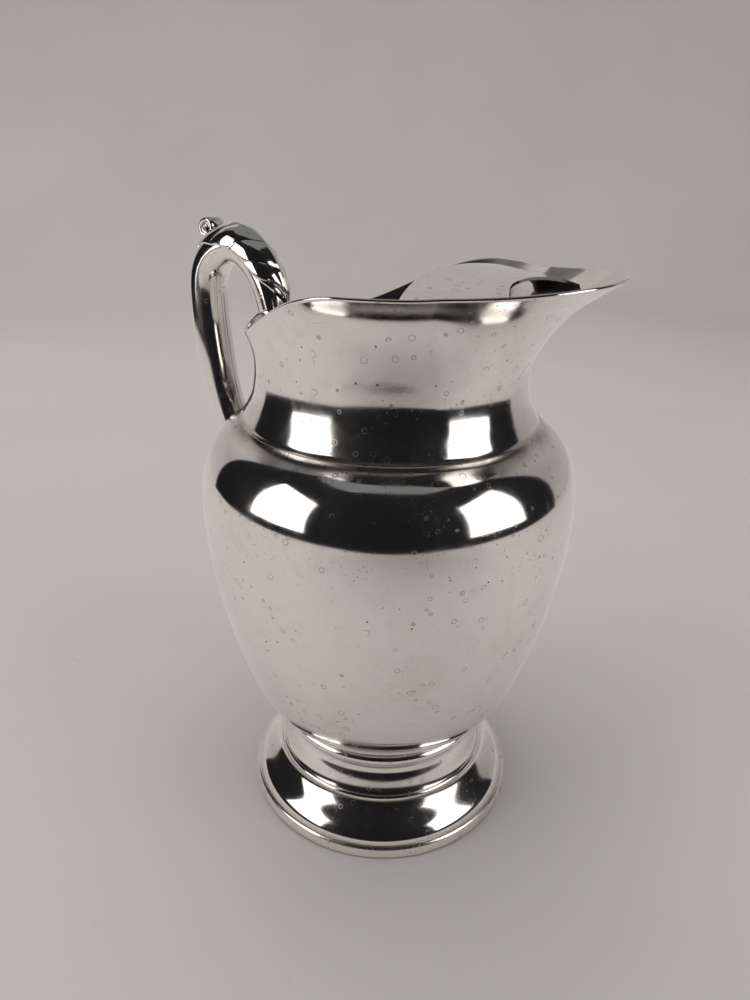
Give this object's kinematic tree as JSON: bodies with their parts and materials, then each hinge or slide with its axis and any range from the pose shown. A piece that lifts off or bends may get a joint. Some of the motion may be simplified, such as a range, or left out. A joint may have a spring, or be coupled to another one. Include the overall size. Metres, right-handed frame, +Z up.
{
  "type": "water pitcher",
  "caption": "Footed water pitcher: pear-shaped bowl, flared neck with pouring lip, arched ice guard and a hollow loop handle with a leaf thumb rest.",
  "frame": {"origin": "centre of the foot ring's resting face, on the bowl's axis", "axes": "+Z up along the bowl's axis, +X from the axis towards the pouring lip with the handle at -X, +Y to the left of the pouring direction"},
  "size_m": [0.1773, 0.1455, 0.2379],
  "materials": {
    "bowl_silver": "polished silver plate with fine wear scratches",
    "neck_silver": "polished silver plate with fine wear scratches",
    "guard_silver": "polished silver plate with fine wear scratches",
    "handle_silver": "polished silver plate with fine wear scratches",
    "leaf_silver": "cast and chased silver plate, darker in the hollows",
    "foot_silver": "polished silver plate with fine wear scratches",
    "ring_silver": "polished silver plate with fine wear scratches",
    "base_silver": "satin silver plate, worn pale where it stands"
  },
  "bodies": {
    "root": {"body_shell": "bowl_silver", "neck_collar": "neck_silver", "ice_guard": "guard_silver", "handle_left": "handle_silver", "handle_right": "handle_silver", "handle_leaf": "leaf_silver", "foot_shell": "foot_silver", "foot_collar_ring": "ring_silver", "foot_base_ring": "base_silver"}
  },
  "joints": []
}
